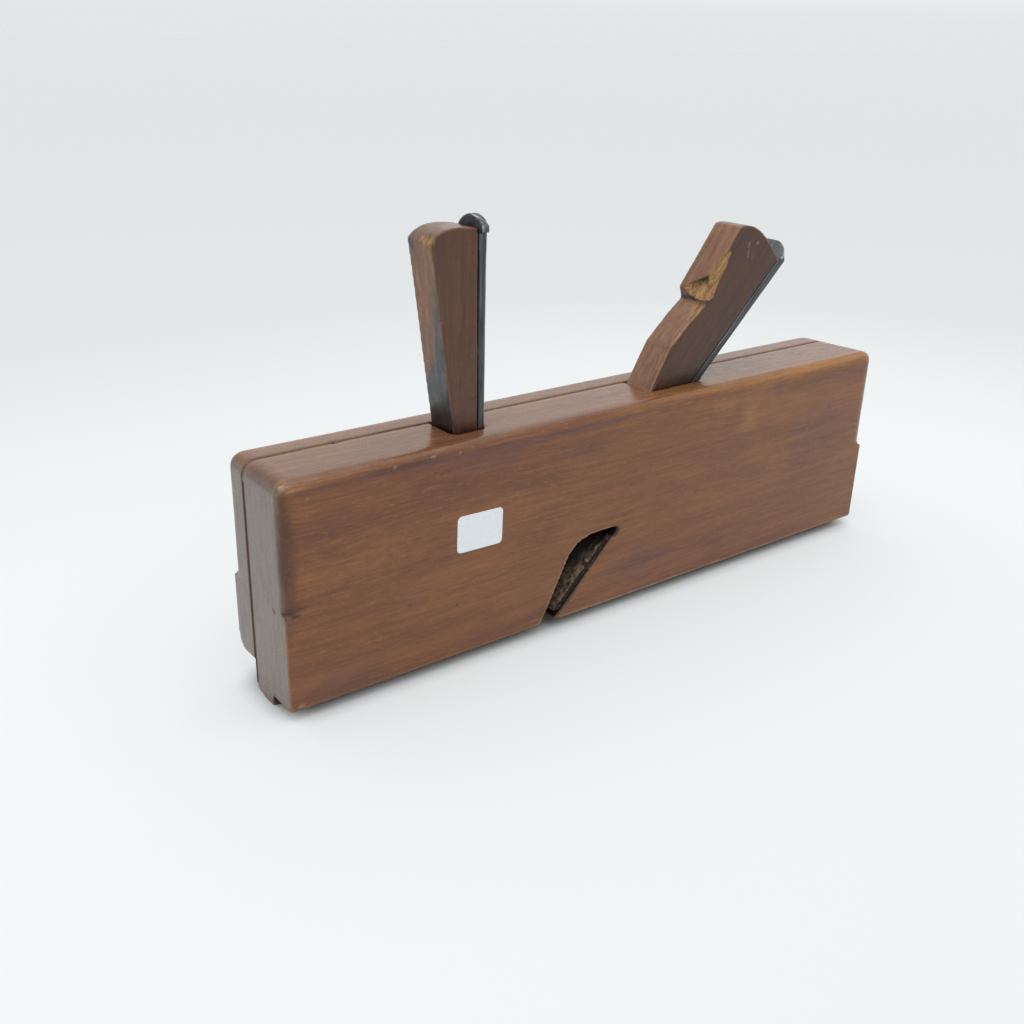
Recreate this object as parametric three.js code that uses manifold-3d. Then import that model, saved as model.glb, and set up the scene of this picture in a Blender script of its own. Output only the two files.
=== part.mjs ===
// A wooden dado plane: a stock and a far cheek screwed together along a seam, a slanting
// cutting iron and an upright scoring iron, each held in its mortise by a wooden wedge.
// Sizes are millimetres. x runs from the toe end to the heel end, y from the near face to
// the far face, and z up from the sole of the lip, the lowest part of the stepped sole.

import * as THREE from 'three';
import { ConvexGeometry } from 'three/addons/geometries/ConvexGeometry.js';
import { mergeVertices } from 'three/addons/utils/BufferGeometryUtils.js';
import Module from 'manifold-3d';

const wasm = await Module();
wasm.setup();

// The wooden body

const bodyLength = 335.2; // toe end to heel end
const bodyHeight = 96.3; // sole of the lip to the top
const stockThickness = 29; // near face to the seam
const cheekThickness = 13.9; // seam to the far face
const seamGap = 0.3;
const fitGap = 0.3; // clearance at each fitted face
const overrun = 2; // how far a cutting shape runs past what it cuts

// The stepped sole and the rounded edges

const landHeight = 4.6; // near land above the lip
const lipWidth = 14.3;
const cheekRise = 14.1; // underside of the cheek above the lip
const lipRound = 5;
const cheekRound = 4.8;
const toeSoleRound = 1;
const heelSoleRound = 6.4;
const arrisRound = 5.4; // drop of the rounding along the top edges
const nearToeShelf = 44.7; // where the rounding of each upright corner stops
const farToeShelf = 46.3;
const heelShelf = 45.8;
const nearToeRound = [6.4, 4.2]; // rounding of each upright corner, along and across
const farToeRound = [6, 4.6];
const nearHeelRound = [6.6, 3.4];
const farHeelRound = [12, 4.9];

// The mortises, the mouth and the escapement

const mortiseWidth = 16.9; // from the seam into the stock
const bedDegrees = 44.4;
const bedFoot = 122; // where the bed meets the lip's sole, from the toe
const nickerBack = 96.8; // back of the upright iron, from the toe
const mouthClearance = 3.9; // open mouth ahead of the cutting iron, along the sole
const wearDegrees = 63.4;
const wearHeight = 31.8; // where the wear turns into the roof
const apexHeight = 40.7; // where the roof meets the bed
const roofRise = 9.5; // pull of the roof's curve up from the wear
const roofRun = 20; // pull of the roof's curve back from the apex
const roofDegrees = 2; // fall of the roof as it meets the bed
const flareShare = 0.3; // how much lower the roof is at the seam
const easeShare = 0.16; // spread of the eased arris, one depth outside the near face
const easeDepth = 0.9;
const throatHeight = 33; // lower end of the wedge's wall inside the mortise

// The cutting iron and its wedge

const cutterReach = 216.2; // foot of the bed to the top of the iron
const cutterEdgeThickness = 1.8;
const cutterHeadThickness = 4.4;
const cutterEdgeHeight = 8; // cutting edge above the lip's sole, over the near land
const cutterBevelDegrees = 30;
const bladeReach = 52; // foot of the bed to the shoulders of the wide blade
const headCornerRun = 4.8;
const headCornerDrop = 8;
const headShoulderDrop = 1.4;
const headRound = 1.5;
const cutterWedgeThickness = 22.3; // square to the bed, where the bed meets the top
const cutterWedgeDegrees = 9.7;
const cutterWedgeTipReach = 41.5;
const cutterWedgeTipLength = 10.5; // sharpened end that turns the shavings aside
const cutterWedgeTipThickness = 2;
const swellReach = 135; // the wedge's front swells out above the body
const swellRise = 2.2;
const notchReach = 151.4; // where the finger notch falls away
const notchFall = 1.2; // how far the front has come in there
const notchLength = 10.1;
const notchDepth = 4.1;
const notchStep = 2.5; // length of the step back out
const notchBrow = 0.5; // how far the step stands proud
const cutterWedgeReach = 205.8;
const cutterWedgeFrontReach = 197.6;
const cutterWedgeCrown = 0.6; // rise of the rounded end over its back corner

// The scoring iron and its wedge

const nickerReach = 178.9; // sole to the top of the head
const nickerEdgeThickness = 1.7;
const nickerHeadThickness = 3.9;
const nickerTipHeight = 1; // points above the lip's sole
const nickerPointThickness = 0.6;
const nickerPointWidth = 1.2;
const nickerBevelLength = 6;
const nickerForkDepth = 6.5;
const nickerShoulderHeight = 24;
const nickerLedgeHeight = 16;
const nickerCapHeight = 6.3;
const nickerCapArch = 4;
const nickerCapOverhang = 2.2; // burr over the near side
const nickerCapInset = 2.2; // short of the far side
const nickerCapBackInset = 0.5;
const nickerWedgeThickness = 11.8; // at the top of the stock
const nickerWedgeDegrees = 8.1;
const nickerWedgeTipReach = 29.5;
const nickerWedgeReach = 174.4;
const nickerWedgeFrontReach = 170.6;
const nickerWedgeCrown = 0.9;
const crownFrontShare = 0.2; // where the rounded ends are pulled up, from the front
const crownBackShare = 0.5;
const uprightDegrees = 90;

// The screws that hold the cheek

const screwHeight = 58;
const screwToeShare = 0.36; // of the way from the toe to the scoring iron
const screwMiddleShare = 0.53; // of the way on to the wall of the wide mortise
const screwHeelShares = [0.22, 0.77]; // of the way from the bed to the heel
const screwHeadRadius = 4.6;
const screwShankRadius = 2.4;
const screwHeadDepth = 2.6;
const screwHeadRim = 0.5;
const screwLength = 26;
const screwPointLength = 5;
const screwPointRadius = 0.5;
const screwSlotWidth = 1.1;
const screwSlotDepth = 1.1;

// Fineness of the curves

const roundSegments = 8;
const curveSegments = 14;
const screwSegments = 16;

const bodyWidth = stockThickness + seamGap + cheekThickness;
const lipInner = stockThickness - lipWidth;
const cheekInner = stockThickness + seamGap;
const mortiseNear = stockThickness - mortiseWidth;
const shankNear = mortiseNear + fitGap;
const shankFar = stockThickness - fitGap;
const radians = THREE.MathUtils.degToRad;

// Solids from outlines

function solidOf(geometry) {
  const bare = geometry.clone();
  bare.deleteAttribute('normal');
  bare.deleteAttribute('uv');
  const merged = mergeVertices(bare);
  return new wasm.Manifold(new wasm.Mesh({
    numProp: 3,
    vertProperties: new Float32Array(merged.attributes.position.array),
    triVerts: new Uint32Array(merged.index.array),
  }));
}

function extruded(shape, depth) {
  return new THREE.ExtrudeGeometry(shape, { depth, bevelEnabled: false, curveSegments: roundSegments });
}

// An outline in y and z, drawn out along the body
function alongPrism(shape, from, to) {
  const turn = new THREE.Matrix4().makeBasis(
    new THREE.Vector3(0, 1, 0),
    new THREE.Vector3(0, 0, 1),
    new THREE.Vector3(1, 0, 0),
  );
  return extruded(shape, to - from).applyMatrix4(turn).translate(from, 0, 0);
}

// An outline in x and z, drawn out across the body
function acrossPrism(shape, from, to) {
  return extruded(shape, to - from).rotateX(Math.PI / 2).translate(0, to, 0);
}

function uprightPrism(shape, from, to) {
  return extruded(shape, to - from).translate(0, 0, from);
}

function boxBetween(low, high) {
  const size = new THREE.Vector3().subVectors(high, low);
  const middle = new THREE.Vector3().addVectors(low, high).divideScalar(2);
  return new THREE.BoxGeometry(size.x, size.y, size.z).translate(middle.x, middle.y, middle.z);
}

// A seat is the frame of one iron: u runs up the bed from the sole, and v stands square to
// the bed, towards the toe. The iron thickens evenly towards its head, and the wedge bears
// on its face.
function makeSeat({ foot, degrees, edge, head, reach, wedge, taper }) {
  const angle = radians(degrees);
  const face = (u) => edge + (head - edge) * (u / reach);
  const bedTop = bodyHeight / Math.sin(angle);
  const wedgeBack = (u) => face(u) + fitGap;
  const wedgeFront = (u) => wedgeBack(bedTop) + wedge + (u - bedTop) * Math.tan(radians(taper));
  return {
    angle,
    face,
    wedgeBack,
    wedgeFront,
    wall: (u) => wedgeFront(u) + fitGap / Math.cos(radians(taper)),
    point: (u, v) => new THREE.Vector2(
      foot + u * Math.cos(angle) - v * Math.sin(angle),
      u * Math.sin(angle) + v * Math.cos(angle),
    ),
    local: (x, z) => new THREE.Vector2(
      (x - foot) * Math.cos(angle) + z * Math.sin(angle),
      z * Math.cos(angle) - (x - foot) * Math.sin(angle),
    ),
    // distance up the bed to the given height, on the face at v
    reachAt: (height, v) => (height - v * Math.cos(angle)) / Math.sin(angle),
    // height reached along the wall of the mortise
    wallReachAt: (height) => {
      const slope = Math.tan(radians(taper));
      const start = wedgeFront(0) + fitGap / Math.cos(radians(taper));
      return (height - start * Math.cos(angle)) / (Math.sin(angle) + slope * Math.cos(angle));
    },
  };
}

const cutterSeat = makeSeat({
  foot: bedFoot,
  degrees: bedDegrees,
  edge: cutterEdgeThickness,
  head: cutterHeadThickness,
  reach: cutterReach,
  wedge: cutterWedgeThickness,
  taper: cutterWedgeDegrees,
});
const nickerSeat = makeSeat({
  foot: nickerBack,
  degrees: uprightDegrees,
  edge: nickerEdgeThickness,
  head: nickerHeadThickness,
  reach: nickerReach,
  wedge: nickerWedgeThickness,
  taper: nickerWedgeDegrees,
});

// A side outline given as pairs of u and v, drawn out across the body
function seatPrism(seat, pairs, from, to) {
  return acrossPrism(new THREE.Shape(pairs.map(([u, v]) => seat.point(u, v))), from, to);
}

// A face outline in y and u, drawn out square to the bed between two values of v
function facePrism(seat, shape, from, to) {
  const up = new THREE.Vector3(Math.cos(seat.angle), 0, Math.sin(seat.angle));
  const out = new THREE.Vector3(-Math.sin(seat.angle), 0, Math.cos(seat.angle));
  const turn = new THREE.Matrix4().makeBasis(new THREE.Vector3(0, 1, 0), up, out.clone().negate());
  const start = seat.point(0, to);
  return extruded(shape, to - from).applyMatrix4(turn).translate(start.x, 0, start.y);
}

// The wooden body, before it is split at the seam

function bodySection() {
  const section = new THREE.Shape();
  section.moveTo(0, landHeight);
  section.lineTo(lipInner, landHeight);
  section.lineTo(lipInner, 0);
  section.lineTo(stockThickness - lipRound, 0);
  section.absarc(stockThickness - lipRound, lipRound, lipRound, -Math.PI / 2, 0);
  section.lineTo(stockThickness, cheekRise);
  section.lineTo(bodyWidth - cheekRound, cheekRise);
  section.absarc(bodyWidth - cheekRound, cheekRise + cheekRound, cheekRound, -Math.PI / 2, 0);
  section.lineTo(bodyWidth, bodyHeight);
  section.lineTo(0, bodyHeight);
  return section;
}

function bodySide() {
  const side = new THREE.Shape();
  side.absarc(toeSoleRound, toeSoleRound, toeSoleRound, Math.PI, 1.5 * Math.PI);
  side.absarc(bodyLength - heelSoleRound, heelSoleRound, heelSoleRound, 1.5 * Math.PI, 2 * Math.PI);
  side.lineTo(bodyLength, bodyHeight);
  side.lineTo(0, bodyHeight);
  return side;
}

// One upright corner of the body: its top is an eighth of an egg, and it drops to the sole
function cornerPoints(x, y, inwardX, inwardY, [along, across]) {
  const points = [];
  for (let turn = 0; turn <= roundSegments; turn += 1) {
    const swing = (turn / roundSegments) * (Math.PI / 2);
    for (let lift = 0; lift <= roundSegments; lift += 1) {
      const rise = (lift / roundSegments) * (Math.PI / 2);
      const edgeX = x + inwardX * along * (1 - Math.cos(rise) * Math.cos(swing));
      const edgeY = y + inwardY * across * (1 - Math.cos(rise) * Math.sin(swing));
      points.push(new THREE.Vector3(edgeX, edgeY, bodyHeight - arrisRound * (1 - Math.sin(rise))));
      if (lift === 0) points.push(new THREE.Vector3(edgeX, edgeY, 0));
    }
  }
  return points;
}

// Below its shelf each corner is left square
function squareCorner(x, y, shelf) {
  const middleX = bodyLength / 2;
  const middleY = bodyWidth / 2;
  const outX = x + Math.sign(x - middleX) * overrun;
  const outY = y + Math.sign(y - middleY) * overrun;
  return solidOf(boxBetween(
    new THREE.Vector3(Math.min(outX, middleX), Math.min(outY, middleY), -overrun),
    new THREE.Vector3(Math.max(outX, middleX), Math.max(outY, middleY), shelf),
  ));
}

function roundedBody() {
  const rounded = new ConvexGeometry([
    ...cornerPoints(0, 0, 1, 1, nearToeRound),
    ...cornerPoints(0, bodyWidth, 1, -1, farToeRound),
    ...cornerPoints(bodyLength, 0, -1, 1, nearHeelRound),
    ...cornerPoints(bodyLength, bodyWidth, -1, -1, farHeelRound),
  ]);
  const keep = solidOf(rounded)
    .add(squareCorner(0, 0, nearToeShelf))
    .add(squareCorner(0, bodyWidth, farToeShelf))
    .add(squareCorner(bodyLength, 0, heelShelf))
    .add(squareCorner(bodyLength, bodyWidth, heelShelf));
  return solidOf(alongPrism(bodySection(), 0, bodyLength))
    .intersect(solidOf(acrossPrism(bodySide(), -overrun, bodyWidth + overrun)))
    .intersect(keep);
}

// The escapement: the wear rises from the mouth and curls over into a roof that dies into
// the bed, and the roof drops towards the seam so that shavings leave by the near face

const mouthFront = (height) => bedFoot + height / Math.tan(cutterSeat.angle)
  - cutterEdgeThickness / Math.sin(cutterSeat.angle) - mouthClearance;

function wearPoint(height) {
  const rise = height - landHeight;
  return new THREE.Vector2(mouthFront(landHeight) + rise / Math.tan(radians(wearDegrees)), height);
}

// The escapement's outline, spread away from the bed by a share that grows from the mouth up
function throatOutline(spread) {
  const wearTop = wearPoint(wearHeight);
  const apex = cutterSeat.point(cutterSeat.reachAt(apexHeight, -fitGap), -fitGap);
  const pullUp = new THREE.Vector2(Math.cos(radians(wearDegrees)), Math.sin(radians(wearDegrees)));
  const pullBack = new THREE.Vector2(-Math.cos(radians(roofDegrees)), Math.sin(radians(roofDegrees)));
  const roof = new THREE.CubicBezierCurve(
    wearTop,
    wearTop.clone().addScaledVector(pullUp, roofRise),
    apex.clone().addScaledVector(pullBack, roofRun),
    apex,
  );
  const mouthReach = cutterSeat.reachAt(landHeight, 0);
  const apexReach = cutterSeat.reachAt(apexHeight, 0);
  const spreadRoof = roof.getPoints(curveSegments).map(({ x, y }) => {
    const spot = cutterSeat.local(x, y);
    const climb = THREE.MathUtils.clamp((spot.x - mouthReach) / (apexReach - mouthReach), 0, 1);
    return spot.y > 0 ? cutterSeat.point(spot.x, spot.y * (1 + spread * climb)) : new THREE.Vector2(x, y);
  });
  const bedFootPoint = cutterSeat.point(cutterSeat.reachAt(-overrun, -fitGap), -fitGap);
  return [wearPoint(-overrun), ...spreadRoof, bedFootPoint];
}

// A solid between a near and a far outline in x and z
function loft(near, nearY, far, farY) {
  const placed = (outline, y) => outline.map((spot) => new THREE.Vector3(spot.x, y, spot.y));
  return solidOf(new ConvexGeometry([...placed(near, nearY), ...placed(far, farY)]));
}

function escapement() {
  const onFace = throatOutline(0);
  const flare = loft(onFace, -overrun, throatOutline(-flareShare), cheekInner);
  const ease = loft(throatOutline(easeShare), -easeDepth, onFace, easeDepth);
  return flare.add(ease);
}

// The lip's mouth stands further forward than the land's, because the lip is lower
function lipMouth() {
  const top = wearPoint(wearHeight);
  const slope = (top.x - mouthFront(0)) / wearHeight;
  const outline = new THREE.Shape([
    new THREE.Vector2(mouthFront(0) - slope * overrun, -overrun),
    top,
    cutterSeat.point(cutterSeat.reachAt(wearHeight, 0), 0),
    cutterSeat.point(cutterSeat.reachAt(-overrun, 0), 0),
  ]);
  return solidOf(acrossPrism(outline, lipInner, cheekInner));
}

// The mortise of the cutting iron: the bed on one side, the wedge's wall on the other
function cutterMortise() {
  const above = bodyHeight + overrun;
  const bedTop = cutterSeat.reachAt(above, -fitGap);
  const wallTop = cutterSeat.wallReachAt(above);
  const wallFoot = cutterSeat.wallReachAt(throatHeight);
  const wear = wearPoint(wearHeight);
  const mouth = wearPoint(-overrun);
  const outline = new THREE.Shape([
    cutterSeat.point(cutterSeat.reachAt(-overrun, -fitGap), -fitGap),
    cutterSeat.point(bedTop, -fitGap),
    cutterSeat.point(wallTop, cutterSeat.wall(wallTop)),
    cutterSeat.point(wallFoot, cutterSeat.wall(wallFoot)),
    wear,
    mouth,
  ]);
  return solidOf(acrossPrism(outline, mortiseNear, cheekInner));
}

// The mortise of the scoring iron narrows below the wedge to a slot through the lip
function nickerMortise() {
  const above = bodyHeight + overrun;
  const wallFoot = nickerWedgeTipReach - fitGap;
  const upper = seatPrism(nickerSeat, [
    [nickerLedgeHeight, -fitGap],
    [above, -fitGap],
    [above, nickerSeat.wall(above)],
    [wallFoot, nickerSeat.wall(wallFoot)],
    [wallFoot, nickerSeat.wedgeBack(wallFoot)],
    [nickerLedgeHeight, nickerSeat.wedgeBack(nickerLedgeHeight)],
  ], mortiseNear, cheekInner);
  const slot = seatPrism(nickerSeat, [
    [-overrun, -fitGap],
    [nickerLedgeHeight + overrun, -fitGap],
    [nickerLedgeHeight + overrun, nickerSeat.wedgeBack(nickerLedgeHeight + overrun)],
    [-overrun, nickerSeat.wedgeBack(-overrun)],
  ], lipInner - fitGap, cheekInner);
  return solidOf(upper).add(solidOf(slot));
}

// A countersunk slotted screw, driven in from the far face; grown by a clearance it is its hole
function screwBody(x, z, grow, headroom) {
  const outline = [
    [0, screwLength + grow],
    [screwPointRadius + grow, screwLength + grow],
    [screwShankRadius + grow, screwLength - screwPointLength],
    [screwShankRadius + grow, screwHeadRim + screwHeadDepth],
    [screwHeadRadius + grow, screwHeadRim],
    [screwHeadRadius + grow, -headroom],
    [0, -headroom],
  ].map(([radius, depth]) => new THREE.Vector2(radius, -depth));
  const turned = new THREE.LatheGeometry(outline, screwSegments);
  return solidOf(turned.translate(x, bodyWidth - fitGap, z));
}

// Screws stand clear of both mortises: one ahead, one between them and two behind
function screwPlaces() {
  const wall = cutterSeat.wallReachAt(screwHeight);
  const wallPlace = cutterSeat.point(wall, cutterSeat.wall(wall)).x;
  const bedPlace = cutterSeat.point(cutterSeat.reachAt(screwHeight, 0), 0).x;
  return [
    nickerBack * screwToeShare,
    THREE.MathUtils.lerp(nickerBack, wallPlace, screwMiddleShare),
    ...screwHeelShares.map((share) => THREE.MathUtils.lerp(bedPlace, bodyLength, share)),
  ];
}

function screwHoles() {
  const holes = screwPlaces().map((x) => screwBody(x, screwHeight, fitGap, fitGap + overrun));
  return holes.reduce((all, hole) => all.add(hole));
}

function screw(x, z) {
  const face = bodyWidth - fitGap;
  const slot = boxBetween(
    new THREE.Vector3(x - screwHeadRadius - overrun, face - screwSlotDepth, z - screwSlotWidth / 2),
    new THREE.Vector3(x + screwHeadRadius + overrun, face + overrun, z + screwSlotWidth / 2),
  );
  return screwBody(x, z, 0, 0).subtract(solidOf(slot));
}

function stock() {
  const nearHalf = boxBetween(
    new THREE.Vector3(-overrun, -overrun, -overrun),
    new THREE.Vector3(bodyLength + overrun, stockThickness, bodyHeight + overrun),
  );
  return roundedBody()
    .intersect(solidOf(nearHalf))
    .subtract(escapement())
    .subtract(lipMouth())
    .subtract(cutterMortise())
    .subtract(nickerMortise())
    .subtract(screwHoles());
}

function farCheek() {
  const farHalf = boxBetween(
    new THREE.Vector3(-overrun, cheekInner, -overrun),
    new THREE.Vector3(bodyLength + overrun, bodyWidth + overrun, bodyHeight + overrun),
  );
  return roundedBody().intersect(solidOf(farHalf)).subtract(screwHoles());
}

// The cutting iron: a wide stepped blade under the escapement and a narrow shank above it

function cutterIron() {
  const iron = cutterSeat;
  const edgeRun = (height) => iron.reachAt(height, iron.face(0));
  const side = (edge) => [
    [edge, iron.face(edge)],
    [cutterReach, iron.face(cutterReach)],
    [cutterReach, 0],
    [edge + iron.face(edge) / Math.tan(radians(cutterBevelDegrees)), 0],
  ];
  const overLand = seatPrism(iron, side(edgeRun(cutterEdgeHeight)), fitGap, shankFar);
  const overLip = seatPrism(iron, side(edgeRun(cutterEdgeHeight - landHeight)), lipInner, shankFar);
  const outline = new THREE.Shape();
  outline.moveTo(fitGap, -overrun);
  outline.lineTo(shankFar, -overrun);
  outline.absarc(shankFar - headRound, cutterReach - headRound, headRound, 0, Math.PI / 2);
  outline.lineTo((shankNear + headCornerRun + shankFar) / 2, cutterReach);
  outline.quadraticCurveTo(
    shankNear + headCornerRun + headRound,
    cutterReach,
    shankNear + headCornerRun,
    cutterReach - headShoulderDrop,
  );
  outline.lineTo(shankNear, cutterReach - headCornerDrop);
  outline.lineTo(shankNear, bladeReach);
  outline.lineTo(fitGap, bladeReach);
  return solidOf(overLand).add(solidOf(overLip))
    .intersect(solidOf(facePrism(iron, outline, -overrun, cutterHeadThickness + overrun)));
}

// The scoring iron: a forked knife end in the lip's slot, and a head spread by hammering

function nickerIron() {
  const iron = nickerSeat;
  const tip = nickerTipHeight;
  const side = seatPrism(iron, [
    [tip, 0],
    [tip, nickerPointThickness],
    [tip + nickerBevelLength, iron.face(tip + nickerBevelLength)],
    [nickerReach, iron.face(nickerReach)],
    [nickerReach, 0],
  ], 0, bodyWidth);
  const capFoot = nickerReach - nickerCapHeight;
  const capFar = shankFar - nickerCapInset;
  const forkMiddle = (lipInner + shankFar) / 2;
  const face = new THREE.Shape();
  face.moveTo(lipInner, tip);
  face.lineTo(lipInner + nickerPointWidth, tip);
  const forkTop = tip + nickerForkDepth;
  face.quadraticCurveTo(lipInner + nickerPointWidth, forkTop, forkMiddle, forkTop);
  face.quadraticCurveTo(shankFar - nickerPointWidth, forkTop, shankFar - nickerPointWidth, tip);
  face.lineTo(shankFar, tip);
  face.lineTo(shankFar, capFoot);
  face.lineTo(capFar, capFoot + nickerCapArch / 2);
  face.lineTo(shankNear, capFoot + nickerCapArch / 2);
  face.lineTo(shankNear, nickerShoulderHeight);
  face.lineTo(lipInner, nickerShoulderHeight);
  const capNear = shankNear - nickerCapOverhang;
  const halfWidth = (capFar - capNear) / 2;
  const archRadius = (halfWidth ** 2 + nickerCapArch ** 2) / (2 * nickerCapArch);
  const spread = Math.asin(halfWidth / archRadius);
  const cap = new THREE.Shape();
  cap.moveTo(shankNear, capFoot);
  cap.lineTo(capFar, capFoot);
  cap.absarc(
    capNear + halfWidth,
    nickerReach - archRadius,
    archRadius,
    Math.PI / 2 - spread,
    Math.PI / 2 + spread,
  );
  cap.lineTo(capNear, capFoot);
  return solidOf(side)
    .intersect(solidOf(facePrism(iron, face, -overrun, nickerHeadThickness + overrun)))
    .add(solidOf(facePrism(iron, cap, nickerCapBackInset, iron.face(capFoot))));
}

// The wedges: the back bears on the iron and the front on the wall of the mortise

// A rounded end from the front corner over to the back corner, as pairs of u and v
function roundedEnd(seat, frontReach, backReach, rise) {
  const front = new THREE.Vector2(frontReach, seat.wedgeFront(frontReach));
  const back = new THREE.Vector2(backReach, seat.wedgeBack(backReach));
  const crown = Math.max(frontReach, backReach) + rise;
  const end = new THREE.CubicBezierCurve(
    front,
    new THREE.Vector2(crown, THREE.MathUtils.lerp(front.y, back.y, crownFrontShare)),
    new THREE.Vector2(crown + rise, THREE.MathUtils.lerp(front.y, back.y, crownBackShare)),
    back,
  );
  return end.getPoints(curveSegments).map((spot) => [spot.x, spot.y]);
}

function cutterWedge() {
  const seat = cutterSeat;
  const tip = cutterWedgeTipReach;
  const mouth = seat.wallReachAt(bodyHeight);
  const notchEnd = notchReach + notchLength;
  const brow = notchEnd + notchStep;
  return solidOf(seatPrism(seat, [
    [tip, seat.wedgeBack(tip)],
    [tip, seat.wedgeBack(tip) + cutterWedgeTipThickness],
    [tip + cutterWedgeTipLength, seat.wedgeFront(tip + cutterWedgeTipLength)],
    [mouth, seat.wedgeFront(mouth)],
    [swellReach, seat.wedgeFront(swellReach) + swellRise],
    [notchReach, seat.wedgeFront(notchReach) - notchFall],
    [notchEnd, seat.wedgeFront(notchEnd) - notchDepth],
    [brow, seat.wedgeFront(brow) + notchBrow],
    ...roundedEnd(seat, cutterWedgeFrontReach, cutterWedgeReach, cutterWedgeCrown),
  ], shankNear, shankFar));
}

function nickerWedge() {
  const seat = nickerSeat;
  const tip = nickerWedgeTipReach;
  return solidOf(seatPrism(seat, [
    [tip, seat.wedgeBack(tip)],
    [tip, seat.wedgeFront(tip)],
    ...roundedEnd(seat, nickerWedgeFrontReach, nickerWedgeReach, nickerWedgeCrown),
  ], shankNear, shankFar));
}

// The scene graph

function meshOf(name, solid, material) {
  const { vertProperties, triVerts } = solid.getMesh();
  const geometry = new THREE.BufferGeometry();
  geometry.setAttribute('position', new THREE.BufferAttribute(vertProperties, 3));
  geometry.setIndex(new THREE.BufferAttribute(triVerts, 1));
  geometry.computeVertexNormals();
  const mesh = new THREE.Mesh(geometry, material);
  mesh.name = name;
  return mesh;
}

function finish(color, roughness, metalness) {
  return new THREE.MeshStandardMaterial({ color, roughness, metalness, flatShading: true });
}

// Origin at the middle of the lip's sole, under the middle of the body
const plane = new THREE.Group();
plane.position.set(-bodyLength / 2, -bodyWidth / 2, 0);
plane.add(
  meshOf('stock', stock(), finish('#7a4d33', 0.5, 0)),
  meshOf('far_cheek', farCheek(), finish('#86684f', 0.55, 0)),
  meshOf('cutting_iron', cutterIron(), finish('#4a4f52', 0.45, 0.9)),
  meshOf('cutting_wedge', cutterWedge(), finish('#75503c', 0.5, 0)),
  meshOf('scoring_iron', nickerIron(), finish('#565c60', 0.4, 0.9)),
  meshOf('scoring_wedge', nickerWedge(), finish('#6f4a38', 0.5, 0)),
);
screwPlaces().forEach((x, index) => {
  plane.add(meshOf(`cheek_screw_${index + 1}`, screw(x, screwHeight), finish('#6b665f', 0.5, 0.85)));
});

const group = new THREE.Group();
group.add(plane);
export default group;
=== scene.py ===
import math

import bmesh
import bpy
import numpy as np
from mathutils import Matrix, Vector


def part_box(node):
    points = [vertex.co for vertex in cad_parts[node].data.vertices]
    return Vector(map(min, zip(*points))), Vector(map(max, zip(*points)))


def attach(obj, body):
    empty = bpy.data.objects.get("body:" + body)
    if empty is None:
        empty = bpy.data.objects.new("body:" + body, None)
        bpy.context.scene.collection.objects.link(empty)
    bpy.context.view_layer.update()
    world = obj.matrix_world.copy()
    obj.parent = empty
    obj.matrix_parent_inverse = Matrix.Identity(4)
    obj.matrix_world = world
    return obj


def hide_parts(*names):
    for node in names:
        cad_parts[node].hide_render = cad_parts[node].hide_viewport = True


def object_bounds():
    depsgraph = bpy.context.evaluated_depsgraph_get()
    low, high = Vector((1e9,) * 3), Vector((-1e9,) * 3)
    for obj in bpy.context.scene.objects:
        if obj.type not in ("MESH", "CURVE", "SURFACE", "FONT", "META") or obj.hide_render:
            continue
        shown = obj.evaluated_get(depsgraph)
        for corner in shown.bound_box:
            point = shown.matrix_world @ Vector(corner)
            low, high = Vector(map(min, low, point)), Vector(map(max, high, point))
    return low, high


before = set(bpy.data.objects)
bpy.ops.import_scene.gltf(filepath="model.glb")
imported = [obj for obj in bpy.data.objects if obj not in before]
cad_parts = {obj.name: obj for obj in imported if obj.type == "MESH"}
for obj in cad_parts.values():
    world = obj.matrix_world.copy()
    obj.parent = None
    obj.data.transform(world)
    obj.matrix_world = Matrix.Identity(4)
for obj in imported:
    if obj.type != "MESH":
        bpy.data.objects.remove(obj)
cadLow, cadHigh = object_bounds()
scene = bpy.context.scene
scene.view_settings.view_transform = "Standard"
mm = 0.001
corner = np.array(cadLow)  # the toe end, near face and sole meet here; places below are millimetres from it
print("frame loaded")

# The camera looks down at the toe end and the near face.
cameraSetup = {
    "place": (-0.3209, -0.3487, 0.2398),
    "azimuth": -37.995,
    "elevation": 23.160,
    "roll": 1.574,
    "lens": 39.095,
    "sensor": 36.0,
    "clipStart": 0.01,
}


def placeCamera(setup):
    camera = bpy.data.objects.new("camera", bpy.data.cameras.new("camera"))
    scene.collection.objects.link(camera)
    camera.data.sensor_width = setup["sensor"]
    camera.data.lens = setup["lens"]
    camera.data.clip_start = setup["clipStart"]
    turn, rise, roll = (math.radians(setup[key]) for key in ("azimuth", "elevation", "roll"))
    back = Vector((math.sin(turn) * math.cos(rise), -math.cos(turn) * math.cos(rise), math.sin(rise)))
    right = Vector((0, 0, 1)).cross(back).normalized()
    up = back.cross(right)
    across = right * math.cos(roll) + up * math.sin(roll)
    upright = up * math.cos(roll) - right * math.sin(roll)
    turned = Matrix((across, upright, back)).transposed().to_4x4()
    camera.matrix_world = Matrix.Translation(setup["place"]) @ turned
    scene.camera = camera


placeCamera(cameraSetup)
print("camera placed")


# The sRGB curve has a straight foot up to its knee and a power above it.
srgbCurve = {"knee": 0.04045, "foot": 12.92, "lift": 0.055, "scale": 1.055, "power": 2.4}


# Turns an sRGB hex colour into Blender's linear one.
def linear(hexColour):
    knee, foot, lift, scale, power = srgbCurve.values()
    parts = [int(hexColour[start : start + 2], 16) / 255 for start in (1, 3, 5)]
    lit = [part / foot if part <= knee else ((part + lift) / scale) ** power for part in parts]
    return (*lit, 1.0)


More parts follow.
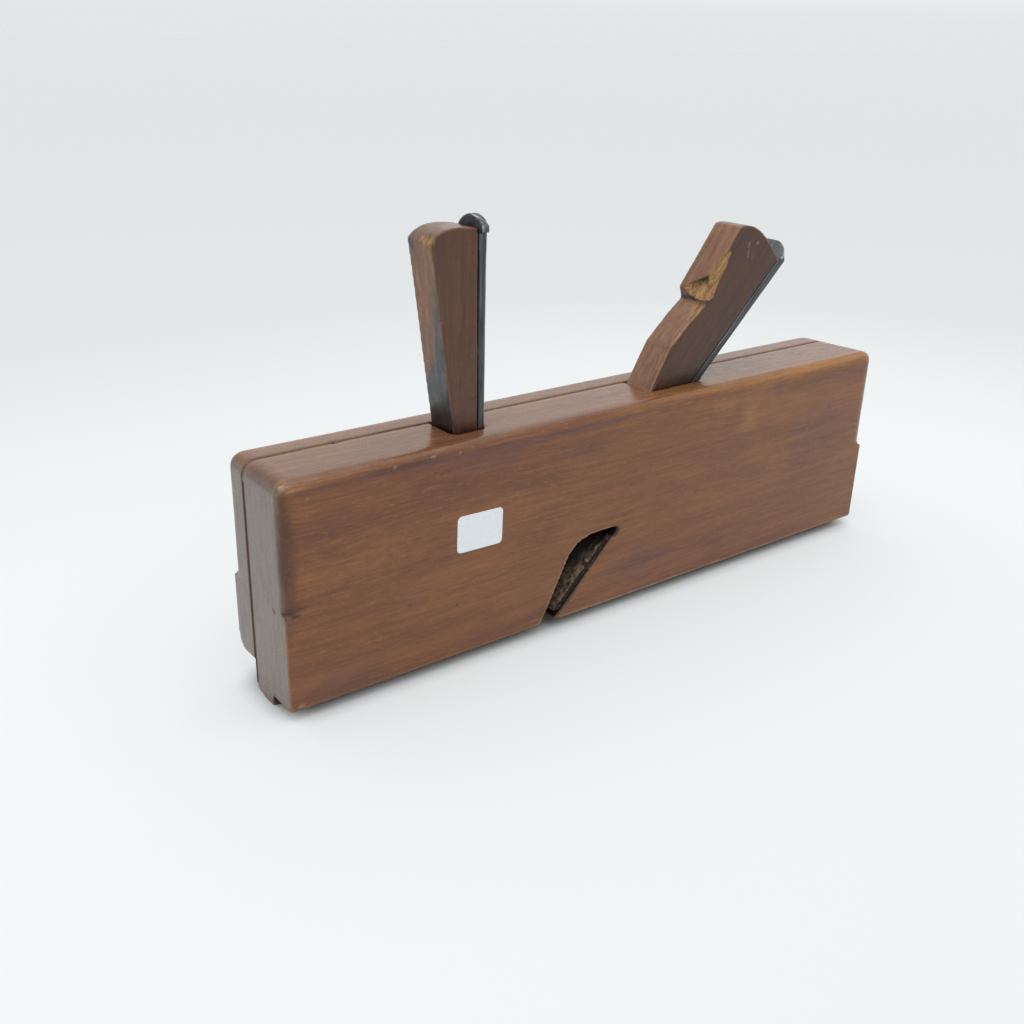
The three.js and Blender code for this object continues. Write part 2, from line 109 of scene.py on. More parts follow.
# Adds a shader node with its inputs, given by name or number, and its settings. Gives back one output.
def addNode(tree, kind, inputs, output=0, **settings):
    node = tree.nodes.new("ShaderNode" + kind)
    for name, value in settings.items():
        setattr(node, name, value)
    for name, value in inputs.items():
        if isinstance(value, bpy.types.NodeSocket):
            tree.links.new(value, node.inputs[name])
        else:
            node.inputs[name].default_value = value
    return node.outputs[output] if node.outputs else None


def emptyMaterial(name):
    material = bpy.data.materials.new(name)
    material.use_nodes = True
    material.node_tree.nodes.clear()
    return material, material.node_tree


noiseMiddle = 0.5  # soft patterns and soft random values run from 0 to 1 about this


# The soft patterns of a look: the size of their clouds in millimetres, how many finer layers they hold
# and how strong those are.
def softPatterns(tree, place, patterns):
    found = {}
    for name, (sizes, detail, roughness) in patterns.items():
        perMetre = tuple(1 / (size * mm) for size in sizes)
        scaled = addNode(tree, "VectorMath", {0: place, 1: perMetre}, operation="MULTIPLY")
        inputs = {"Vector": scaled, "Scale": 1.0, "Detail": detail, "Roughness": roughness}
        found[name] = addNode(tree, "TexNoise", inputs, "Fac")
    return found


# Turns a value between two limits into one between two ends.
def faded(tree, value, limits, ends=(0.0, 1.0), kind="SMOOTHSTEP"):
    first, second = limits
    low, high = ends
    inputs = {"Value": value, "From Min": first, "From Max": second, "To Min": low, "To Max": high}
    return addNode(tree, "MapRange", inputs, interpolation_type=kind)


# Lays colours over a tone. Each layer shows where its value rises from the first limit to the second.
def layered(tree, tone, layers):
    for value, first, second, share, colour in layers:
        cover = faded(tree, value, (first, second), (0.0, share))
        tone = addNode(tree, "Mix", {0: cover, 6: tone, 7: colour}, 2, data_type="RGBA")
    return tone


markRim = 0.12  # a mark of this strength or more can cover the tone in full


# Lays the marks that a piece carries over its tone. Each kind has a dark and a light tone, streaked as
# the piece is, and a border broken up by fine clouds. Gives back the tone and how much is covered.
def marked(tree, tone, marks, streaks, ragged):
    covered = 0.0
    for channel, (dark, light, broken) in marks.items():
        here = addNode(tree, "Attribute", {}, "Fac", attribute_name=channel)
        torn = addNode(tree, "Math", {0: ragged, 1: broken, 2: here}, operation="MULTIPLY_ADD")
        within = faded(tree, here, (0.0, markRim))
        cover = faded(tree, torn, (0.0, 1.0), (0.0, within))
        paint = addNode(tree, "Mix", {0: streaks, 6: linear(dark), 7: linear(light)}, 2, data_type="RGBA")
        tone = addNode(tree, "Mix", {0: cover, 6: tone, 7: paint}, 2, data_type="RGBA")
        covered = addNode(tree, "Math", {0: covered, 1: cover}, operation="MAXIMUM")
    return tone, covered


# Adds up values, each times its share.
def total(tree, start, *parts):
    for value, share in parts:
        start = addNode(tree, "Math", {0: value, 1: share, 2: start}, operation="MULTIPLY_ADD")
    return start


# Old fruitwood, sawn, planed and waxed: a fine even grain along the piece with soft darker years and
# short ray flecks, saturated under a thin polish that mirrors the pale room at a low angle.
def fruitwoodPlaned(name, look):
    material, tree = emptyMaterial(name)
    place = addNode(tree, "TexCoord", {}, "Object")
    turned = {"Vector": place, "Angle": math.radians(look["grainTurn"])}
    along = addNode(tree, "VectorRotate", turned, rotation_type="Y_AXIS")
    slow = tuple(1 / (size * mm) for size in look["driftSize"])
    scaled = addNode(tree, "VectorMath", {0: along, 1: slow}, operation="MULTIPLY")
    drift = addNode(tree, "TexNoise", {"Vector": scaled, "Scale": 1.0, "Detail": 2.0}, "Color")
    reach = tuple(size * mm for size in look["driftReach"])
    grained = addNode(tree, "VectorMath", {0: drift, 1: reach, 2: along}, operation="MULTIPLY_ADD")
    found = softPatterns(tree, grained, look["grain"])
    found.update(softPatterns(tree, place, look["wear"]))
    ragged = addNode(tree, "Math", {0: found["wear"], 1: noiseMiddle}, operation="SUBTRACT")
    mixed = addNode(tree, "Math", {0: found["year"], 1: found["fibre"]}, operation="ADD")
    streaks = faded(tree, mixed, look["streakLimits"], kind="LINEAR")
    edge, hollow, split = (addNode(tree, "Attribute", {}, "Fac", attribute_name=channel)
                           for channel in ("edge", "hollow", "torn"))

    layers = [(found[pattern], first, second, share, linear(colour))
              for pattern, first, second, share, colour in look["layers"]]
    tone = layered(tree, linear(look["base"]), layers)
    tone, _ = marked(tree, tone, look["marks"], streaks, ragged)
    brightened = total(tree, edge, (ragged, look["rubRagged"]))
    dirty = total(tree, hollow, (ragged, look["dirtRagged"]))
    tone = layered(tree, tone, [
        (brightened, *look["rubLimits"], look["rubShare"], linear(look["rub"])),
        (dirty, *look["dirtLimits"], 1.0, linear(look["dirt"])),
    ])
    relief = total(tree, 0.0, (found["fibre"], look["fibreRelief"]), (found["wear"], look["wearRelief"]),
                   (found["pore"], -look["poreRelief"]))
    splinters = addNode(tree, "Math", {0: found["fibre"], 1: split}, operation="MULTIPLY")
    relief = total(tree, relief, (splinters, look["tornRelief"]))
    wood = addNode(tree, "BsdfPrincipled", {
        "Base Color": tone,
        "Roughness": total(tree, look["roughness"], *zip((ragged, dirty, split), look["roughened"])),
        "IOR": look["ior"],
        "Normal": addNode(tree, "Bump", {"Height": relief, "Distance": mm, "Strength": 1.0}),
    })
    addNode(tree, "OutputMaterial", {"Surface": wood})
    return material


# Wrought and hammered tool steel under a dark skin of age: blue-grey, streaked along the blade, with an
# olive crust and brown rust where chips lie on it, bright where edges are rubbed, and with painted
# highlights.
def steelForged(name, look):
    material, tree = emptyMaterial(name)
    place = addNode(tree, "TexCoord", {}, "Object")
    turned = {"Vector": place, "Angle": math.radians(look["grainTurn"])}
    along = addNode(tree, "VectorRotate", turned, rotation_type="Y_AXIS")
    found = softPatterns(tree, along, look["grain"])
    ragged = addNode(tree, "Math", {0: found["patch"], 1: noiseMiddle}, operation="SUBTRACT")
    edge, painted_highlight = (addNode(tree, "Attribute", {}, "Fac", attribute_name=channel)
                   for channel in ("edge", "painted_highlight"))

    layers = [(found[pattern], first, second, share, linear(colour))
              for pattern, first, second, share, colour in look["layers"]]
    tone = layered(tree, linear(look["base"]), layers)
    lumps = faded(tree, found["pit"], look["lumpLimits"], kind="LINEAR")
    tone, covered = marked(tree, tone, look["marks"], lumps, ragged)
    # Rubbed edges and painted highlights both lighten the steel towards the bright tone.
    brightened = total(tree, 0.0, (edge, look["edgeShare"]), (painted_highlight, 1.0), (ragged, look["rubRagged"]))
    tone = layered(tree, tone, [(brightened, *look["rubLimits"], 1.0, linear(look["bright"]))])
    pitted = addNode(tree, "Math", {0: found["pit"], 1: covered}, operation="MULTIPLY")
    relief = total(tree, 0.0, (found["streak"], look["streakRelief"]), (pitted, look["pitRelief"]))
    steel = addNode(tree, "BsdfPrincipled", {
        "Base Color": tone,
        "Metallic": total(tree, 1.0, (covered, -look["metalHidden"])),
        "Roughness": total(tree, look["roughness"], *zip((found["streak"], covered), look["roughened"])),
        "Normal": addNode(tree, "Bump", {"Height": relief, "Distance": mm, "Strength": 1.0}),
    })
    addNode(tree, "OutputMaterial", {"Surface": steel})
    return material


noiseSetup = {
    "shift": 1000,  # keeps all cells positive
    "values": 8191,
    "steps": (92837, 68917, 28349),  # spread neighbouring cells over the values
}


# Soft random values from 0 to 1 whose clouds have these sizes in millimetres, the same on every run.
def softNoise(places, sizes, seed):
    cells = places / np.array(sizes, float) + noiseSetup["shift"]
    low = np.floor(cells).astype(np.int64)
    part = cells - low
    part = part * part * (3 - 2 * part)
    table = np.random.default_rng(seed).random(noiseSetup["values"])
    noise = np.zeros(len(places))
    for step in np.ndindex(2, 2, 2):
        index = ((low + step) @ np.array(noiseSetup["steps"])) % len(table)
        noise += table[index] * np.prod(np.where(step, part, 1 - part), axis=1)
    return noise


# Reads one list of a mesh, such as its places, as rows.
def rowsOf(items, name, width, kind=float):
    values = np.empty(len(items) * width, kind)
    items.foreach_get(name, values)
    return values.reshape(-1, width)


def setPlaces(mesh, places):
    mesh.vertices.foreach_set("co", (places * mm + corner).ravel())
    mesh.update()


wearSetup = {
    "relaxShare": 0.5,  # of the way to the middle of its neighbours
    "spotFall": 1.5,
    "patchFacing": (0.1, 0.3),  # where a patch starts to show on a turning face, and over how much
    "faceFacing": (0.6, 0.3),
    "outlineCover": 0.5,  # how strongly a patch shows on its own outline
    "splinter": (5, 0.9, 0.9),
    "splinterMiddle": 0.3,
    "tornDepth": 0.15,  # millimetres broken off until the wood counts as torn
    "weld": 0.001,
    "tornClean": 0.85,  # how free of dirt torn wood is
    "raggedLeast": 0.5,  # of a mark's push, which varies from here to one more
    "unrubbedTimes": 2,
    "tiny": 1e-9,
}
# How far each random pattern of a piece stands from the piece's own seed.
seedSteps = {"fine": 1, "ragged": 2, "patch": 5, "chip": 9}


# How far values have come past a start, as a share of a reach, from 0 to 1.
def risen(values, start, reach):
    return np.clip((values - start) / reach, 0, 1)


# Draws every point towards the middle of its neighbours, which rounds the edges and leaves the flats.
def relaxed(places, pairs, rounds, share=wearSetup["relaxShare"]):
    first, second = pairs.T
    size = len(places)
    around = np.bincount(first, minlength=size) + np.bincount(second, minlength=size)
    for _ in range(rounds):
        middle = np.stack([
            np.bincount(first, places[second, axis], size) + np.bincount(second, places[first, axis], size)
            for axis in range(3)
        ], 1) / around[:, None]
        places = places + (share * (middle - places).T).T
    return places


# 1 in the middle of an oval spot, falling softly to 0 at its rim.
def spotMark(places, at, reach):
    far = (((places - np.array(at)) / np.array(reach)) ** 2).sum(1)
    return np.clip(1 - far, 0, None) ** wearSetup["spotFall"]


# How far the places lie from the stretch between two points, and how far along it they are.
def stretchTo(places, start, end):
    start, end = np.array(start, float), np.array(end, float)
    span = end - start
    share = np.clip((places - start) @ span / max(span @ span, wearSetup["tiny"]), 0, 1)
    return np.linalg.norm(places - start - share[:, None] * span, axis=1), share


# A line through points that fades to 0 at its width. The fourth value of each point is its strength.
def lineMark(places, path, width):
    mark = np.zeros(len(places))
    for start, end in zip(path, path[1:]):
        far, share = stretchTo(places, start[:3], end[:3])
        strength = start[3] + share * (end[3] - start[3])
        mark = np.maximum(mark, strength * np.clip(1 - (far / width) ** 2, 0, None))
    return mark


# 1 inside an outline drawn on two axes, with a ragged border, on the faces that look one way.
def patchMark(places, normals, axes, outline, facing, border, seed):
    clouds = [softNoise(places, (border, border, border), seed + step) for step in range(2)]
    flat = places[:, axes] + (np.stack(clouds, 1) - noiseMiddle) * border
    inside = np.zeros(len(flat), bool)
    far = np.full(len(flat), np.inf)
    for start, end in zip(outline, outline[1:] + outline[:1]):
        far = np.minimum(far, stretchTo(flat, start, end)[0])
        crosses = (start[1] > flat[:, 1]) != (end[1] > flat[:, 1])
        rise = end[1] - start[1] or wearSetup["tiny"]
        inside ^= crosses & (flat[:, 0] < start[0] + (flat[:, 1] - start[1]) * (end[0] - start[0]) / rise)
    toward = risen(normals @ np.array(facing, float), *wearSetup["patchFacing"])
    return np.clip(np.where(inside, far, -far) / border + wearSetup["outlineCover"], 0, 1) * toward


# Breaks a chip out of a piece. The chip lies between planes, each given by a point and the way its broken
# face looks, and the first of them is ragged along the grain.
def chipped(places, planes, grain, rough, seed):
    turn = math.radians(grain)
    cosine, sine = math.cos(turn), math.sin(turn)
    along = places @ np.array([(cosine, 0, -sine), (0, 1, 0), (sine, 0, cosine)])
    facings = np.array([facing for _, facing in planes], float)
    facings /= np.linalg.norm(facings, axis=1)[:, None]
    beyond = np.stack([(places - np.array(at)) @ facing for (at, _), facing in zip(planes, facings)], 1)
    beyond[:, 0] += rough * (softNoise(along, wearSetup["splinter"], seed) - wearSetup["splinterMiddle"])
    nearest = beyond.argmin(1)
    depth = np.clip(beyond.min(1), 0, None)
    return places - facings[nearest] * depth[:, None], risen(depth, 0, wearSetup["tornDepth"])


# An object with the node's own shape, cut into even small faces so that it can be worn.
def evenCopy(node, voxel):
    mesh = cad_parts[node].data.copy()
    welded = bmesh.new()
    welded.from_mesh(mesh)
    bmesh.ops.remove_doubles(welded, verts=welded.verts, dist=wearSetup["weld"] * mm)
    welded.to_mesh(mesh)
    welded.free()
    mesh.materials.clear()
    piece = bpy.data.objects.new(node + "_worn", mesh)
    scene.collection.objects.link(piece)
    remesh = piece.modifiers.new("even", "REMESH")
    remesh.mode = "VOXEL"
    remesh.voxel_size = voxel * mm
    remesh.use_smooth_shade = True
    bpy.context.view_layer.update()
    even = bpy.data.meshes.new_from_object(piece.evaluated_get(bpy.context.evaluated_depsgraph_get()))
    piece.modifiers.clear()
    piece.data = even
    return piece


# Wears a piece as its list says: softened and squared edges, a slightly uneven surface, and marks, some of
# them painted light and shade. Each mark has a kind, its place and size, how strongly it colours, and how
# far it pushes the surface.
def wornPiece(node, body, shape, material):
    piece = evenCopy(node, shape["voxel"])
    mesh = piece.data
    seed = shape["seed"]
    pairs = rowsOf(mesh.edges, "vertices", 2, np.int64)
    places = (rowsOf(mesh.vertices, "co", 3) - corner) / mm
    places = relaxed(places, pairs, shape["softening"])
    for rounds, low, high in shape["smoothed"]:
        within = ((places > low) & (places < high)).all(1)
        places = relaxed(places, pairs, rounds, wearSetup["relaxShare"] * within)
    for axis, flat, reach, low, high in shape["squared"]:
        near = (np.abs(places[:, axis] - flat) < reach) & ((places > low) & (places < high)).all(1)
        places[near, axis] = flat
    layers = {channel: np.zeros(len(places)) for channel in shape["channels"]}
    for planes in shape["chips"]:
        chipSeed = seed + seedSteps["chip"]
        places, broken = chipped(places, planes, shape["chipGrain"], shape["chipRough"], chipSeed)
        layers["torn"] = np.maximum(layers["torn"], broken)
    setPlaces(mesh, places)
    normals = rowsOf(mesh.vertices, "normal", 3)
    uneven = softNoise(places, shape["unevenSize"], seed)
    fine = softNoise(places, shape["fineSize"], seed + seedSteps["fine"])
    sink = shape["uneven"] * uneven + shape["fine"] * fine + shape["inset"]
    ragged = wearSetup["raggedLeast"] + softNoise(places, shape["raggedSize"], seed + seedSteps["ragged"])
    marks = []
    for kind, at, reach, strength, push in shape["spots"]:
        marks.append((kind, strength * spotMark(places, at, reach), push))
    for kind, path, width, push in shape["lines"]:
        marks.append((kind, lineMark(places, path, width), push))
    for number, (kind, axes, outline, facing, border, strength, push) in enumerate(shape["patches"]):
        patchSeed = seed + seedSteps["patch"] * number
        patch = patchMark(places, normals, axes, outline, facing, border, patchSeed)
        marks.append((kind, strength * patch, push))
    pushed = places - normals * sink[:, None]
    for kind, share, push in marks:
        layers[kind] = np.maximum(layers[kind], share)
        pushed = pushed + np.array(push) * (share * ragged)[:, None]
    for kind, facing, strength in shape["faces"]:
        toward = risen(normals @ np.array(facing, float), *wearSetup["faceFacing"])
        layers[kind] = np.maximum(layers[kind], strength * toward)
    low, high = (np.array(end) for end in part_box(node))
    places = np.clip(pushed, (low - corner) / mm, (high - corner) / mm)
    setPlaces(mesh, places)
    normals = rowsOf(mesh.vertices, "normal", 3)
    bulge = ((places - relaxed(places, pairs, shape["edgeRounds"])) * normals).sum(1)
    clean = wearSetup["tornClean"] * np.clip(layers.get("torn", 0), 0, 1)
    layers["edge"] = risen(bulge, 0, shape["edgeDepth"])
    layers["hollow"] = risen(-bulge, 0, shape["edgeDepth"]) * (1 - clean)
    for path, width in shape["unrubbed"]:
        layers["edge"] *= 1 - np.clip(wearSetup["unrubbedTimes"] * lineMark(places, path, width), 0, 1)
    for name, values in layers.items():
        mesh.attributes.new(name, "FLOAT", "POINT").data.foreach_set("value", values.astype(np.float32))
    mesh.materials.append(material)
    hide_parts(node)
    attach(piece, body)
    print("worn", node, len(mesh.polygons), "faces")


# The stock: warm golden brown, redder towards the sole, with a greyed toe end.
woodMarks = {
    # Worn: rubbed lighter wood; on the fronts of the wedges it is also laid by facing as painted light.
    "worn": ("#6e4b31", "#a07a58", 0.6),
    "red": ("#582f20", "#74472f", 0.5),
    "grey": ("#61574f", "#756b64", 0.3),
    # Painted sheen: the blue-grey reflection of the pale room on smooth faces.
    "painted_sheen": ("#23282b", "#434a4e", 0.3),
    # Shade: dark stains and marks, and painted shade on the near faces of the wedges and above the toe
    # ledge.
    "shade": ("#341d0f", "#482a16", 0.5),
    "purple": ("#452a25", "#62403a", 0.6),
    "gold": ("#81511f", "#a06c33", 0.6),
    "torn": ("#664327", "#a88457", 0.5),
    # Dark: dark joints, holes and cracks, and painted shadows in gaps, under overhangs and at the feet of
    # the wedges.
    "dark": ("#170e0a", "#2b1a12", 0.5),
    "pale": ("#a08c70", "#c8b8a0", 0.8),
}
stockLook = {
    "grainTurn": 0,
    "driftSize": (60, 25, 30),
    "driftReach": (0, 2.5, 4),
    "grain": {
        "year": ((140, 1.8, 12), 3.0, 0.55),
        "band": ((180, 12, 5), 3.0, 0.55),
        "line": ((45, 1.5, 1.3), 2.0, 0.5),
        "fibre": ((15, 0.8, 0.8), 3.0, 0.6),
        "blotch": ((70, 30, 26), 3.0, 0.5),
        "ray": ((2.6, 0.8, 0.6), 1.0, 0.4),
        "pore": ((5, 0.5, 0.5), 2.0, 0.5),
    },
    "wear": {"wear": ((5, 3, 3), 5.0, 0.65)},
    "base": "#693d1f",
    "layers": [
        ("year", 0.3, 0.7, 1.0, "#794a23"),
        ("band", 0.45, 0.7, 0.45, "#5f341b"),
        ("blotch", 0.45, 0.75, 0.8, "#5f341f"),
        ("line", 0.52, 0.7, 0.25, "#4a2815"),
        ("line", 0.46, 0.3, 0.16, "#94642f"),
        ("fibre", 0.5, 0.25, 0.28, "#4a2a15"),
        ("fibre", 0.5, 0.75, 0.28, "#99693a"),
        ("ray", 0.62, 0.75, 0.25, "#a0713f"),
        ("pore", 0.6, 0.72, 0.35, "#2c180c"),
    ],
    "streakLimits": (0.78, 1.2),
    "rub": "#a17a4e",
    "rubShare": 0.5,
    "rubRagged": 1.1,
    "rubLimits": (0.35, 1.15),
    "dirt": "#1d110b",
    "dirtRagged": 0.8,
    "dirtLimits": (0.2, 1.0),
    "marks": woodMarks,
    "ior": 1.5,
    "roughness": 0.26,
    "roughened": (0.2, 0.3, 0.5),  # by ragged wear, by dirt and by torn grain
    "fibreRelief": 0.003,
    "wearRelief": 0.004,
    "poreRelief": 0.0015,
    "tornRelief": 0.4,
}
noPush = (0, 0, 0)
seamLine = [(0.2, 29.2, 0, 0.5), (0.2, 29.2, 96, 0.5), (335, 29.2, 96.2, 0.5), (335, 29.2, 0, 0.5)]
bedLine = [(123, 0, 0, 1), (129.2, 0, 6.2, 1), (163.1, 0, 40.4, 1), (166, 0, 42.6, 1)]
stockShape = {
    "voxel": 1.04,
    "softening": 1,
    "smoothed": [(3, (112, -1, 3), (172, 4, 46)), (2, (66, -1, 90), (200, 28.4, 98))],
    "squared": [
        (1, 29.0, 0.8, (-1, 28, -1), (336, 30, 97)),
        (1, 0.0, 0.7, (-1, -1, 4), (336, 1, 45.5)),
        (1, 0.0, 0.7, (9, -1, 45.5), (326, 1, 80)),
        (2, 4.6, 0.7, (-1, -1, 3.5), (336, 14.9, 5.5)),
        (1, 14.7, 0.7, (-1, 13.9, -1), (336, 15.5, 5)),
        (2, 0.0, 0.7, (-1, 14, -1), (336, 26, 1)),
        (0, 0.0, 0.7, (-1, -1, -1), (1, 29.5, 45.5)),
        (0, 0.0, 0.7, (-1, 6, 45), (1, 29.5, 88)),
        (0, 335.2, 0.7, (334, -1, -1), (336, 29.5, 45.5)),
    ],
    "seed": 11,
    "unevenSize": (45, 20, 20),
    "uneven": 0.12,
    "fineSize": (6, 3, 3),
    "fine": 0.03,
    "inset": 0.05,
    "raggedSize": (1.5, 1.2, 1.2),
    "edgeRounds": 8,
    "edgeDepth": 0.5,
    "channels": tuple(woodMarks),
    "unrubbed": [(seamLine, 2.5), (bedLine, 3.5), ([(0, 3, 45, 1), (6, 0, 45, 1)], 3.0)],
    "chips": [],
    "chipGrain": 0,
    "chipRough": 0.0,
    # The grey on both end faces is greyed end grain; the grey on the top is painted sheen.
    "faces": [("grey", (-1, 0, 0), 0.72), ("grey", (1, 0, 0), 0.55), ("grey", (0, 0, 1), 0.22)],
    "spots": [
        ("gold", (40, 0, 62), (60, 3, 20), 0.3, noPush),
        ("gold", (95, 0, 66), (60, 3, 14), 0.3, noPush),
        ("red", (95, 0, 16), (50, 3, 16), 0.3, noPush),
        ("red", (215, 0, 14), (70, 3, 12), 0.45, noPush),
        ("purple", (24, 0, 12), (34, 3, 14), 0.42, noPush),
        ("grey", (54.4, 0, 37.5), (5, 3, 4.5), 0.3, noPush),
        ("grey", (20, 0, 49), (4, 3, 2), 0.25, noPush),
        ("gold", (243, 0, 79), (9, 3, 14), 0.4, noPush),
        ("gold", (236, 0, 88), (50, 3, 7), 0.4, noPush),
        ("purple", (262, 0, 88), (6, 4, 5), 0.7, noPush),
        ("purple", (92, 0, 87), (30, 3, 7), 0.5, noPush),
        ("purple", (137, 0, 82), (26, 3, 8), 0.4, noPush),
        ("shade", (122, 0, 12), (11, 3, 5), 0.45, noPush),
        ("purple", (175, 0, 20), (36, 3, 12), 0.55, noPush),
        # Painted reflection: the top is redder and more golden in front of each wedge, where the wedge hides
        # the pale room in the polish.
        ("red", (77, 7, 96.3), (15, 8, 2), 0.6, noPush),
        ("gold", (200, 7, 96.3), (34, 7, 2), 0.4, noPush),
        ("purple", (300, 0, 62), (36, 3, 28), 0.4, noPush),
        ("purple", (120, 0, 24), (26, 3, 9), 0.3, noPush),
        ("worn", (26.5, 0, 66.4), (0.9, 2, 0.8), 0.9, noPush),
        ("dark", (53.0, 0, 34.5), (1.6, 2, 1.6), 0.5, (0, 0.3, 0)),
        ("dark", (75.6, 0, 27.8), (1.0, 2, 1.0), 0.9, (0, 0.45, 0)),
        ("dark", (134.4, 0, 47.5), (1.0, 2, 0.8), 0.6, (0, 0.2, 0)),
        ("dark", (233, 0, 26), (1.2, 2, 1.0), 0.5, (0, 0.2, 0)),
        ("worn", (4.5, 0, 5.8), (2.2, 2, 1.7), 0.9, (0, 0.4, 0.4)),
        ("worn", (3, 3, 94), (7, 7, 4), 0.8, (0.2, 0.2, -0.3)),
        ("pale", (2.5, 2.5, 94.3), (2.5, 3, 2), 0.45, noPush),
        ("worn", (9, 1, 94), (6, 3, 3), 0.5, noPush),
        ("pale", (47.6, 0.5, 92.8), (1.5, 1.5, 1.0), 0.5, (0, 0.15, -0.1)),
        ("pale", (64.5, 0.5, 93.6), (1.8, 1.5, 0.7), 0.45, (0, 0.15, -0.1)),
        ("pale", (76.8, 0.3, 93.0), (1.2, 1.5, 0.7), 0.4, noPush),
        ("shade", (1, 16, 94.5), (4.5, 30, 5), 0.6, noPush),
        ("shade", (1.5, 0.5, 70), (6.5, 5.5, 46), 0.75, noPush),
        ("shade", (3, 1, 46.8), (8, 4, 2.8), 0.8, noPush),
        ("pale", (40.5, 0.5, 92.6), (0.9, 1.2, 0.6), 0.5, noPush),
        ("pale", (44.8, 0.3, 92.2), (0.8, 1.2, 0.5), 0.4, noPush),
        ("pale", (11.5, 0, 89), (0.7, 1.2, 0.6), 0.6, noPush),
        ("dark", (38.3, 29, 96.3), (2.2, 1.6, 1.6), 1.0, (0, -0.3, -0.7)),
        ("shade", (294, 21, 96.3), (3.5, 5, 2), 0.4, noPush),
        ("dark", (0, 9.2, 43.6), (1.5, 1.2, 1.8), 0.8, (0.5, 0, 0)),
        ("shade", (186, 0, 90.5), (6, 2, 1.6), 0.5, (0, 0.1, 0)),
        ("shade", (184, 0, 72.5), (5, 2, 1.4), 0.35, (0, 0.1, 0)),
        ("shade", (206, 0, 92), (7, 2, 1.6), 0.45, (0, 0.1, 0)),
        ("dark", (128, 9, 6), (5, 8.9, 5), 1.0, noPush),
        ("dark", (161, 9, 39), (7, 8.9, 6), 1.0, noPush),
    ],
    "lines": [
        ("dark", seamLine, 0.9, noPush),
        ("gold", [(130, 1.5, 94.5, 0.0), (175, 1.5, 94.5, 0.3), (225, 1.5, 94.5, 0.6),
                  (331, 1.5, 94.5, 0.75)], 5.5, noPush),
        ("worn", [(240, 1.5, 94.6, 0.1), (290, 1.8, 94.8, 0.5), (328, 1.8, 94.8, 0.5)], 2.6, noPush),
        ("shade", [(185, 0.3, 93, 0.3), (240, 0.4, 93.4, 0.6), (325, 0.4, 93.2, 0.6)], 0.9, noPush),
        ("shade", [(200, 2.6, 95.6, 0.2), (260, 2.8, 95.7, 0.6), (325, 2.8, 95.7, 0.5)], 0.8, noPush),
        ("purple", [(8, 0, 91.4, 0.3), (60, 0, 91.2, 0.6), (150, 0, 91.2, 0.7),
                    (215, 0, 91, 0.1)], 2.2, noPush),
        ("shade", [(8, 0.2, 91.9, 0.3), (60, 0.2, 92, 0.6), (130, 0.2, 92, 0.4)], 0.8, noPush),
        ("dark", [(22, 0.3, 92.6, 0.1), (45, 0.4, 93.2, 0.6), (70, 0.3, 93.0, 0.5),
                  (95, 0.3, 92.8, 0.1)], 0.8, noPush),
        # A painted shadow line under the small ledge at the near toe corner, with a slight groove.
        ("dark", [(0.2, 2.8, 45.1, 0.9), (0.9, 2.0, 45.0, 1.0), (2.6, 0.8, 44.8, 1.0)], 1.4, (0.1, 0.2, 0)),
        ("dark", [(1.8, 1.4, 45.2, 1.0), (2.6, 0.6, 44.9, 1.0), (3.9, 0.1, 44.3, 0.9),
                  (6.2, 0, 43.7, 0.5)], 1.0, (0.1, 0.2, 0)),
        ("worn", [(8, 1.8, 95.2, 0.45), (60, 1.8, 95.2, 0.35), (130, 1.8, 95.2, 0.1)], 2.2, noPush),
        ("worn", [(6, 0.1, 4.9, 0.5), (60, 0.1, 4.9, 0.5), (118, 0.1, 4.9, 0.4)], 0.7, noPush),
        ("pale", [(128, 0.1, 4.8, 0.5), (180, 0.1, 4.8, 0.7), (250, 0.1, 4.8, 0.55),
                  (325, 0.1, 4.8, 0.4)], 0.7, noPush),
        ("shade", [(303, 0, 75, 0.7), (303.3, 0, 71, 0.7)], 0.6, noPush),
        ("shade", [(123, 0.5, 4, 0.8), (163, 0.5, 40.5, 0.8)], 1.2, noPush),
        ("worn", [(127, 0, 18, 0.3), (134, 0, 33, 0.6), (138.6, 0, 38.3, 0.7),
                  (142, 0, 40, 0.2)], 0.9, noPush),
        # Painted shade at the toe end of the lip, in the gap under the near land.
        ("dark", [(0, 7.5, 0.5, 0.8), (0, 15, 0.5, 0.8)], 2.6, noPush),
        ("dark", [(0, 7.5, 2.2, 0.6), (0, 14.5, 2.2, 0.6)], 2.4, noPush),
    ],
    "patches": [
        ("dark", (0, 2), [(117, -1), (122.4, -1), (159.4, 36), (163, 36), (174, 46), (160, 50), (112, 6)],
         (-0.7, 0, 0.71), 0.6, 1.0, noPush),
        # Painted shade on the lip's near wall, in the gap under the near land.
        ("dark", (0, 2), [(-2, -2), (338, -2), (338, 3.9), (-2, 3.9)], (0, -1, 0), 0.6, 0.8, noPush),
    ],
}
stockWood = fruitwoodPlaned("fruitwood_planed_waxed", stockLook)
wornPiece("stock", "body", stockShape, stockWood)

